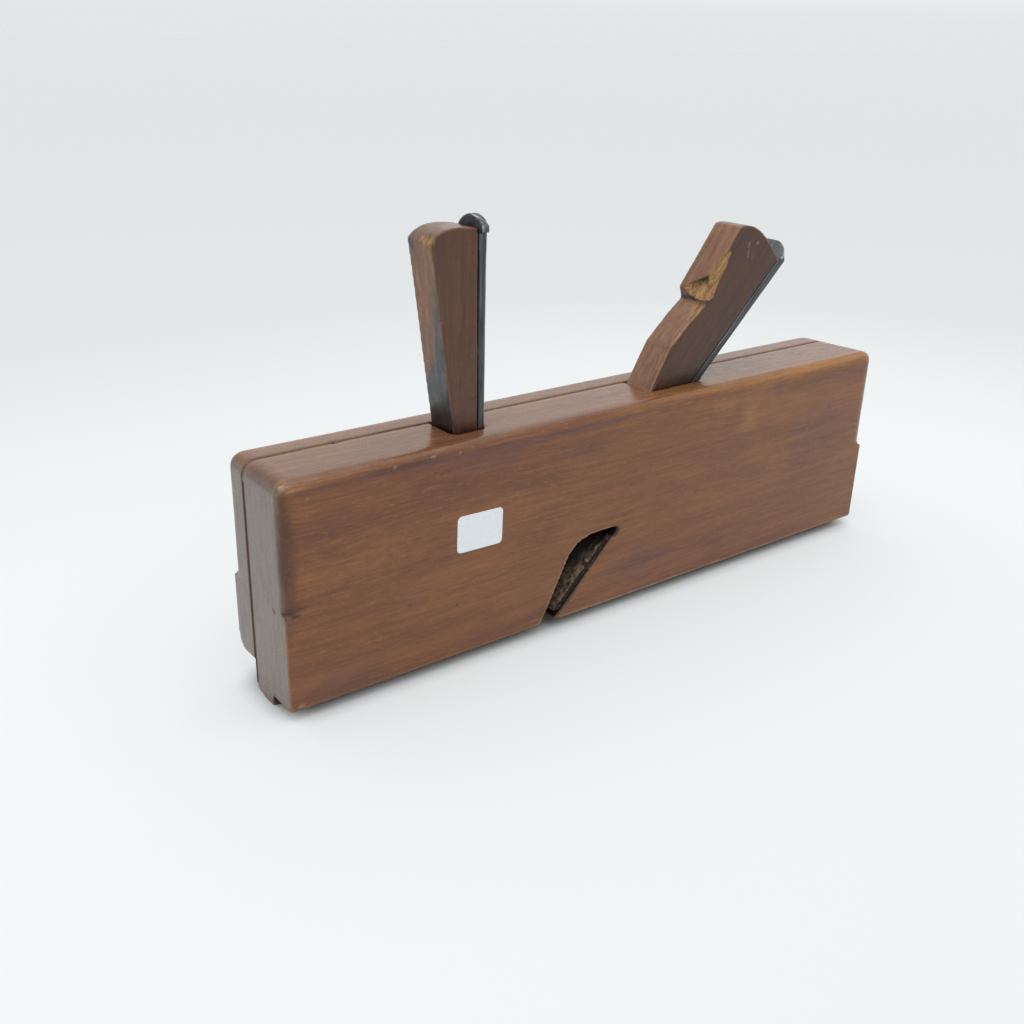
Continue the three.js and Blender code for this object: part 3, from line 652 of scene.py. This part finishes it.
# The far cheek: the same wood, with dark iron stains round the screws and a greyer toe end.
screwPlaces = []
for number in range(1, 5):
    screwLow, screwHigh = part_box(f"cheek_screw_{number}")
    middle = (np.array(screwLow) + np.array(screwHigh)) / 2
    screwPlaces.append((middle - corner) / mm)
cheekLook = dict(stockLook, base="#6b4521")
cheekShape = dict(
    stockShape,
    seed=31,
    smoothed=[],
    squared=[
        (1, 29.3, 0.8, (-1, 28.5, -1), (336, 30.2, 97)),
        (2, 14.1, 0.7, (-1, 29, 13), (336, 40, 15)),
        (0, 0.0, 0.7, (-1, 29, 12), (1, 38, 88)),
        (1, 43.2, 0.7, (-1, 42, 20), (336, 44, 45.5)),
        (1, 43.2, 0.7, (9, 42, 45.5), (326, 44, 80)),
    ],
    unrubbed=[(seamLine, 2.5)],
    patches=[],
    # The grey on both end faces is greyed end grain; the grey on the top is painted sheen.
    faces=[("grey", (-1, 0, 0), 0.8), ("grey", (1, 0, 0), 0.6), ("grey", (0, 0, 1), 0.22)],
    spots=[("shade", (at[0], 43.2, at[2]), (8, 3, 7), 0.8, noPush) for at in screwPlaces] + [
        ("dark", (38.3, 29.4, 96.3), (2.2, 1.6, 1.6), 1.0, (0, 0.3, -0.7)),
        ("shade", (1, 38, 94), (4.5, 12, 5), 0.5, noPush),
        ("gold", (80, 43.2, 60), (70, 3, 24), 0.35, noPush),
        ("red", (230, 43.2, 36), (80, 3, 20), 0.4, noPush),
    ],
    lines=[
        ("dark", seamLine, 0.9, noPush),
        ("purple", [(30, 43.2, 84, 0.4), (130, 43.2, 86, 0.4), (240, 43.2, 83, 0.4)], 7, noPush),
        ("worn", [(4, 42.8, 94, 0.4), (160, 42.8, 94, 0.5), (331, 42.8, 94, 0.6)], 3, noPush),
    ],
)
cheekWood = fruitwoodPlaned("fruitwood_planed_greyed", cheekLook)
wornPiece("far_cheek", "body", cheekShape, cheekWood)

# The scoring wedge: darker, greasy from hands and smooth, with a painted blue-grey sheen on its front along
# the near edge.
wedgeLook = dict(
    stockLook,
    grainTurn=90,
    driftSize=(60, 12, 12),
    driftReach=(0, 1.5, 1.5),
    grain=dict(
        stockLook["grain"],
        year=((120, 2.4, 2.2), 3.0, 0.55),
        band=((120, 6, 6), 3.0, 0.55),
        blotch=((40, 16, 16), 3.0, 0.5),
        fibre=((15, 0.6, 0.6), 3.0, 0.6),
    ),
    base="#5a351f",
    layers=[
        ("year", 0.3, 0.7, 1.0, "#6b4226"),
        ("band", 0.45, 0.7, 0.5, "#54301c"),
        ("blotch", 0.45, 0.75, 0.7, "#4a291b"),
        ("line", 0.52, 0.7, 0.3, "#402314"),
        ("fibre", 0.5, 0.25, 0.35, "#402414"),
        ("fibre", 0.5, 0.75, 0.35, "#8a5f3a"),
        ("ray", 0.62, 0.75, 0.2, "#94683c"),
        ("pore", 0.6, 0.72, 0.35, "#2c180c"),
    ],
    roughness=0.32,
    rubShare=0.35,
)
wedgeShape = dict(
    stockShape,
    voxel=0.6,
    softening=2,
    smoothed=[],
    squared=[],
    unrubbed=[],
    patches=[],
    unevenSize=(9, 9, 14),
    uneven=0.2,
    fineSize=(1.6, 1.6, 3),
    fine=0.04,
    inset=0.02,
    raggedSize=(0.9, 0.9, 2.0),
    edgeRounds=10,
    edgeDepth=0.35,
)
scoringWedgeShape = dict(
    wedgeShape,
    seed=51,
    # Painted light and shade by the way each face looks: the near face shaded, the front lightened, the top
    # given both.
    faces=[("shade", (0, -1, 0), 0.6), ("worn", (-1, 0, 0), 0.4), ("shade", (0, 0, 1), 0.3),
           ("worn", (0, 0, 1), 0.3)],
    spots=[
        ("red", (82, 12.4, 130), (7, 3, 26), 0.5, noPush),
        ("worn", (76.3, 12.4, 140.8), (0.7, 1.5, 1.0), 0.9, noPush),
        ("worn", (90.3, 12.4, 126.1), (0.6, 1.5, 1.1), 0.9, noPush),
        ("torn", (72.5, 15.5, 170.8), (2.6, 4.5, 3.2), 1.0, (0.5, 0.3, -0.5)),
        ("torn", (72.3, 19.5, 171.4), (2.2, 3.0, 2.0), 0.8, (0.3, 0, -0.3)),
        # Painted sheen on the top facet.
        ("painted_sheen", (71.8, 26.5, 168.5), (2.6, 3.4, 4.4), 0.9, noPush),
        # Painted shade at the foot, where the wedge goes into the stock.
        ("dark", (81, 20, 96), (7, 18, 14), 1.0, noPush),
        ("dark", (88, 12.4, 96), (9, 3, 4), 0.7, noPush),
    ],
    lines=[
        # A painted shadow along the iron; the grey along the near edge at the top is painted sheen.
        ("dark", [(94.2, 12.4, 96, 0.8), (93.4, 12.4, 174, 0.8)], 0.9, noPush),
        ("grey", [(72.6, 14, 166, 0.3), (74.5, 14.2, 150, 0.5), (76, 15, 136, 0.5)], 3.2, noPush),
    ],
    patches=[
        # Painted sheen down the front along the near edge, widening towards the foot.
        ("painted_sheen", (1, 2), [(12.4, 158), (13.4, 152), (15.2, 144), (17.5, 134), (20.5, 125), (24.5, 119),
                           (29, 114), (29, 94), (12.4, 94)], (-1, 0, 0), 3.4, 0.9, noPush),
    ],
)
scoringWood = fruitwoodPlaned("fruitwood_greasy_handled", wedgeLook)
wornPiece("scoring_wedge", "scoring_wedge", scoringWedgeShape, scoringWood)

# The cutting wedge: split under its head and torn along the near edge of its front.
splitLook = dict(wedgeLook, grainTurn=50)
wedgeFront = (-0.77, 0, 0.64)
cuttingWedgeShape = dict(
    wedgeShape,
    seed=61,
    chipGrain=50,
    chipRough=0.9,
    chips=[
        [((225.9, 12.4, 140.8), (-0.843, -0.442, 0.305)), ((222.1, 15.5, 143.2), (-0.493, -0.569, -0.658)),
         ((222, 12.4, 133), (0, 0, 1))],
        [((232.0, 12.4, 150.4), (-0.402, -0.880, 0.255)), ((233.2, 12.4, 153.7), (0.174, -0.346, -0.922)),
         ((222, 12.4, 133), (0, 0, 1))],
    ],
    # Painted light and shade by the way each face looks: the near face shaded and the front lightened; the
    # front is also redder.
    faces=[("shade", (0, -1, 0), 0.85), ("worn", wedgeFront, 0.45), ("red", wedgeFront, 0.3)],
    spots=[
        ("worn", (246.4, 12.4, 156.6), (2.8, 1.5, 0.5), 0.6, noPush),
        ("worn", (235.5, 12.4, 118.5), (2.0, 1.5, 0.7), 0.8, noPush),
        # Painted shade at the foot of the near face.
        ("dark", (214, 12.4, 98), (22, 4, 5), 0.8, noPush),
        ("dark", (205, 22, 121), (2, 2, 1.2), 0.7, noPush),
        # Painted shadow in the notch under the chip.
        ("dark", (218.5, 12.4, 134.5), (3.5, 2.5, 1.6), 0.8, noPush),
    ],
    lines=[
        ("worn", [(188.7, 12.6, 96.3, 0.8), (193.2, 12.7, 104, 0.9), (197.6, 12.7, 112, 1.0),
                  (202, 12.7, 117, 1.0), (208, 12.7, 122.5, 1.0), (214.5, 12.7, 128, 1.0),
                  (218.8, 12.7, 131.6, 0.8)], 1.7, (0.4, 0.4, -0.3)),
        ("pale", [(197.6, 12.7, 112, 0.0), (203, 12.7, 118, 0.2), (212, 12.7, 126, 0.2)], 0.9, noPush),
        # A painted shadow and a slight groove along the top wall of the chip.
        ("dark", [(218.0, 25.5, 137.0, 0.6), (222.0, 15.6, 143.3, 0.9)], 0.7, (0.5, 0, -0.4)),
        ("dark", [(229.6, 15.6, 152.4, 0.6), (233.6, 12.4, 153.9, 1.0)], 0.8, (0.5, 0, -0.4)),
        # A painted shadow along the shelf under the chip.
        ("dark", [(218.6, 28.7, 132.6, 0.6), (219.0, 20, 132.6, 0.9),
                  (222.9, 12.6, 132.6, 1.0)], 1.6, noPush),
        ("pale", [(244.4, 12.4, 156.8, 0.4), (244.1, 12.4, 150.1, 0.3)], 0.5, noPush),
        ("pale", [(249.3, 12.4, 156.0, 0.5), (251.6, 12.4, 156.0, 0.3)], 0.5, noPush),
        ("pale", [(246.9, 12.4, 149.4, 0.3), (248.0, 12.4, 153, 0.1)], 0.5, noPush),
        ("worn", [(234, 12.5, 154, 0.5), (243, 12.6, 163.5, 0.8)], 0.9, noPush),
        # Painted shade down the near face beside the iron and towards the foot.
        ("dark", [(222, 12.4, 97, 1.0), (242, 12.4, 122, 0.7), (262, 12.4, 146, 0.4)], 1.6, noPush),
        ("dark", [(216, 12.4, 97, 0.4), (236, 12.4, 122, 0.3), (250, 12.4, 138, 0.1)], 6.0, noPush),
    ],
    patches=[
        ("torn", (1, 2), [(11.5, 123.0), (15.5, 125.5), (19.0, 129.5), (19.5, 131.8), (11.5, 131.8)],
         wedgeFront, 1.8, 0.75, (0.3, 0, -0.2)),
    ],
)
splitWood = fruitwoodPlaned("fruitwood_split_torn", splitLook)
wornPiece("cutting_wedge", "cutting_wedge", cuttingWedgeShape, splitWood)

# The irons: dark blue-grey with a brighter rub on the corners and painted highlights, rusty and pitted in
# the escapement, and darkened with painted shade where they meet the wedges and the stock and deep in the
# throat.
ironMarks = {
    "crust": ("#44392c", "#a49174", 0.4),
    "rust": ("#080403", "#35100a", 0.5),
    # Soot and painted shade: darker iron on the scoring iron's front and cap, and painted shade beside the
    # wedges, at the stock and in the throat.
    "soot_and_shade": ("#181919", "#2c2f2f", 0.4),
}
ironLook = {
    "grainTurn": 90,
    "grain": {
        "streak": ((40, 1.2, 1.0), 4.0, 0.6),
        "patch": ((14, 6, 6), 4.0, 0.6),
        "pit": ((2.2, 2.2, 2.2), 3.0, 0.6),
    },
    "base": "#484a4b",
    "layers": [
        ("streak", 0.35, 0.7, 1.0, "#6f7275"),
        ("patch", 0.5, 0.7, 0.6, "#3d3f40"),
        ("patch", 0.42, 0.28, 0.4, "#6e665c"),
    ],
    "marks": ironMarks,
    "lumpLimits": (0.38, 0.66),
    "edgeShare": 0.7,
    "rubRagged": 0.6,
    "rubLimits": (0.4, 1.1),
    # The bright tone serves both rubbed edges and painted highlights.
    "bright": "#cdd1d1",
    "metalHidden": 0.6,  # how much of the metal a full mark hides
    "roughness": 0.36,
    "roughened": (0.15, 0.3),  # by the streaks and by marks
    "streakRelief": 0.02,
    "pitRelief": 0.6,
}
ironShape = dict(
    wedgeShape,
    voxel=0.55,
    softening=1,
    unevenSize=(12, 12, 20),
    uneven=0.1,
    fineSize=(2, 2, 3),
    fine=0.04,
    inset=0.0,
    raggedSize=(1, 1, 1),
    edgeRounds=5,
    edgeDepth=0.3,
    channels=tuple(ironMarks) + ("painted_highlight",),
    faces=[],
    spots=[],
    lines=[],
    patches=[],
)
scoringIronShape = dict(
    ironShape,
    seed=71,
    # The front and the cap's front are darker; the cap's crest and the back edge of the near face carry
    # painted highlights, and a painted shadow runs down the front edge beside the wedge.
    faces=[("soot_and_shade", (-1, 0, 0), 0.5)],
    spots=[
        ("painted_highlight", (93.4, 10.2, 174.6), (1.5, 1.5, 2.5), 0.3, noPush),
        ("soot_and_shade", (93, 18, 174), (1.5, 7, 5), 1.0, noPush),
    ],
    lines=[
        ("painted_highlight", [(93.2, 19, 178.8, 0.2), (93.3, 15.3, 178.4, 0.8), (94.5, 13.0, 177.4, 0.9),
                   (96.1, 11.1, 175.9, 0.6)], 0.55, noPush),
        ("painted_highlight", [(96.5, 12.4, 98, 0.5), (96.6, 12.4, 165, 0.6)], 0.8, noPush),
        ("soot_and_shade", [(93.2, 12.4, 96, 0.7), (93.2, 12.4, 166, 0.6)], 0.9, noPush),
    ],
)
ironSteel = steelForged("tool_steel_forged", ironLook)
wornPiece("scoring_iron", "scoring_iron", scoringIronShape, ironSteel)
cuttingIronShape = dict(
    ironShape,
    seed=81,
    # Painted highlight on the struck head, by the way its faces look.
    faces=[("painted_highlight", (0.71, 0, 0.7), 0.4)],
    spots=[
        ("crust", (138, 2, 20), (30, 14, 26), 1.0, noPush),
        # Painted shade deep in the throat, over the upper part of the crusted face.
        ("soot_and_shade", (149, 13, 30), (16, 8, 14), 0.55, noPush),
        ("crust", (151.9, 2, 32.5), (2.0, 2.2, 2.0), 1.0, (-0.5, 0, 0.5)),
        ("crust", (146.8, 3, 27.4), (1.5, 1.8, 1.5), 1.0, (-0.5, 0, 0.5)),
        ("crust", (145.4, 0.9, 26.0), (1.4, 1.2, 1.4), 1.0, (-0.4, 0, 0.4)),
        ("crust", (138.4, 3.5, 19.0), (2.4, 2.2, 2.4), 1.0, (-0.4, 0, 0.4)),
        ("crust", (132.8, 2.7, 13.4), (2.2, 1.8, 2.2), 1.0, (-0.4, 0, 0.4)),
        # Painted shade where the iron runs into the stock beside the wedge.
        ("soot_and_shade", (212, 12.4, 96), (14, 4, 12), 0.8, noPush),
    ],
    patches=[
        ("rust", (0, 2), [(118, 0), (172, 0), (172, 47), (118, 47)], (0, -1, 0), 1.2, 1.0, (0, 0.8, 0)),
    ],
    lines=[
        # Painted highlight along the edge of the head.
        ("painted_highlight", [(275.0, 18.0, 153.2, 0.5), (274.0, 16.3, 150.4, 0.7), (272.3, 14.5, 148.9, 0.8),
                   (268.2, 12.5, 147.5, 0.7)], 1.1, noPush),
        # Painted highlight along the near edge of the iron.
        ("painted_highlight", [(222, 12.4, 104, 0.2), (272, 12.4, 147, 0.35)], 0.6, noPush),
        ("rust", [(122, 0.3, 3, 1.0), (166, 0.3, 44, 1.0)], 1.6, (0, 0.1, 0)),
    ],
)
slantedSteel = steelForged("tool_steel_pitted", dict(ironLook, grainTurn=44))
wornPiece("cutting_iron", "cutting_iron", cuttingIronShape, slantedSteel)

# The screws are turned steel, dull with age, and keep their modelled shape.
screwLook = dict(ironLook, base="#57524b", layers=[("streak", 0.35, 0.7, 1.0, "#857f75")])
screwSteel = steelForged("screw_steel_turned", screwLook)
for number in range(1, 5):
    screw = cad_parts[f"cheek_screw_{number}"]
    screw.data.materials.clear()
    screw.data.materials.append(screwSteel)


# The blank paper label on the near face: a thin plate with rounded corners.
labelSetup = {
    "corner": (75.2, 50.4),
    "size": (22.2, 15.8),
    "turn": -1.2,
    "radius": 2.0,
    "steps": 6,
    "thickness": 0.12,
    "bevel": 0.06,
    "grain": {"pulp": ((1.2, 1.2, 1.2), 4.0, 0.6)},
    "cloudLimits": (0.2, 0.8),
    "base": "#d2d8dc",
    "light": "#dde3e7",
    "roughness": 0.5,
}


def paperLabel(setup):
    material, tree = emptyMaterial("paper_coated_white")
    place = addNode(tree, "TexCoord", {}, "Object")
    pulp = softPatterns(tree, place, setup["grain"])["pulp"]
    tone = layered(tree, linear(setup["base"]), [(pulp, *setup["cloudLimits"], 1.0, linear(setup["light"]))])
    paper = addNode(tree, "BsdfPrincipled", {"Base Color": tone, "Roughness": setup["roughness"]})
    addNode(tree, "OutputMaterial", {"Surface": paper})
    wide, high = setup["size"]
    radius = setup["radius"]
    outline = []
    for quarter, (right, top) in enumerate([(True, True), (False, True), (False, False), (True, False)]):
        middle = (wide - radius if right else radius, high - radius if top else radius)
        for step in range(setup["steps"] + 1):
            angle = math.radians(90 * (quarter + step / setup["steps"]))
            outline.append((middle[0] + radius * math.cos(angle), middle[1] + radius * math.sin(angle)))
    turn = math.radians(setup["turn"])
    mesh = bpy.data.meshes.new("label")
    plate = bmesh.new()
    rings = []
    for depth, inset in ((setup["thickness"], 0.0), (setup["bevel"], 0.0), (0.0, setup["bevel"])):
        ring = []
        for x, z in outline:
            x = wide / 2 + (x - wide / 2) * (1 - 2 * inset / wide)
            z = high / 2 + (z - high / 2) * (1 - 2 * inset / high)
            across = setup["corner"][0] + x * math.cos(turn) - z * math.sin(turn)
            upward = setup["corner"][1] + x * math.sin(turn) + z * math.cos(turn)
            ring.append(plate.verts.new(np.array([across, depth, upward]) * mm + corner))
        rings.append(ring)
    for back, front in zip(rings, rings[1:]):
        for index in range(len(back)):
            after = (index + 1) % len(back)
            plate.faces.new((back[index], back[after], front[after], front[index]))
    plate.faces.new(rings[-1])
    plate.faces.new(rings[0][::-1])
    bmesh.ops.recalc_face_normals(plate, faces=plate.faces)
    plate.to_mesh(mesh)
    plate.free()
    mesh.materials.append(material)
    label = bpy.data.objects.new("paper_label", mesh)
    scene.collection.objects.link(label)
    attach(label, "body")


paperLabel(labelSetup)
print("label made")

# A pale seamless sheet under soft daylight from all sides. The sheet glows with a painted light, which is
# left out under the plane as a painted contact shadow so that its shadows stay light, and its colour and
# glow darken a little away from the plane as painted shade.
stageSetup = {
    "floor": "#a8abac",
    "floorRoughness": 0.9,
    "floorIor": 1.3,
    "glow": "#f1f5f6",
    "glowStrength": 0.46,
    "footprint": (0.154, 0.0072, 1.0),
    "shadowReach": (0.007, 0.022),
    "brightReach": (0.1, 0.62),
    "farShade": 0.855,
    "floorSize": 80.0,
    "sky": "#e2e6e8",
    "skyLayers": [(0.01, 0.1, 1.06), (0.3, 0.9, 1.12)],
    "lamps": [("overhead", (-0.15, -0.25, 1.5), 1.3, 5.0)],
}


def setStage(setup):
    mesh = bpy.data.meshes.new("floor")
    half = setup["floorSize"] / 2
    corners = [(-half, -half, 0), (half, -half, 0), (half, half, 0), (-half, half, 0)]
    mesh.from_pydata(corners, [], [(0, 1, 2, 3)])
    floor = bpy.data.objects.new("floor", mesh)
    scene.collection.objects.link(floor)
    material, tree = emptyMaterial("vinyl_sheet_matt")
    place = addNode(tree, "TexCoord", {}, "Object")
    folded = addNode(tree, "VectorMath", {0: place}, operation="ABSOLUTE")
    outside = addNode(tree, "VectorMath", {0: folded, 1: setup["footprint"]}, operation="SUBTRACT")
    outside = addNode(tree, "VectorMath", {0: outside, 1: (0, 0, 0)}, operation="MAXIMUM")
    away = addNode(tree, "VectorMath", {0: outside}, "Value", operation="LENGTH")
    # Painted glow, left out near the plane as a painted contact shadow; painted shade darkens the sheet away
    # from it.
    lit = faded(tree, away, setup["shadowReach"], (0.0, setup["glowStrength"]))
    dimmed = faded(tree, away, setup["brightReach"], (1.0, setup["farShade"]))
    tone = addNode(tree, "VectorMath", {0: linear(setup["floor"])[:3], "Scale": dimmed}, operation="SCALE")
    sheet = addNode(tree, "BsdfPrincipled", {
        "Base Color": tone,
        "Roughness": setup["floorRoughness"],
        "IOR": setup["floorIor"],
        "Emission Color": linear(setup["glow"]),
        "Emission Strength": addNode(tree, "Math", {0: lit, 1: dimmed}, operation="MULTIPLY"),
    })
    addNode(tree, "OutputMaterial", {"Surface": sheet})
    mesh.materials.append(material)
    world = bpy.data.worlds.new("daylight")
    world.use_nodes = True
    sky = world.node_tree
    way = addNode(sky, "TexCoord", {}, "Generated")
    height = addNode(sky, "SeparateXYZ", {0: way}, 2)
    layers = [(height, low, high, 1.0, (strength, strength, strength, 1.0))
              for low, high, strength in setup["skyLayers"]]
    glow = layered(sky, linear(setup["sky"]), layers)
    sky.links.new(glow, sky.nodes["Background"].inputs["Color"])
    scene.world = world
    for name, place, size, power in setup["lamps"]:
        lamp = bpy.data.objects.new(name, bpy.data.lights.new(name, "AREA"))
        lamp.data.shape = "DISK"
        lamp.data.size = size
        lamp.data.energy = power
        lamp.location = place
        lamp.rotation_euler = Vector(place).to_track_quat("Z", "Y").to_euler()
        scene.collection.objects.link(lamp)


setStage(stageSetup)
print("stage set")
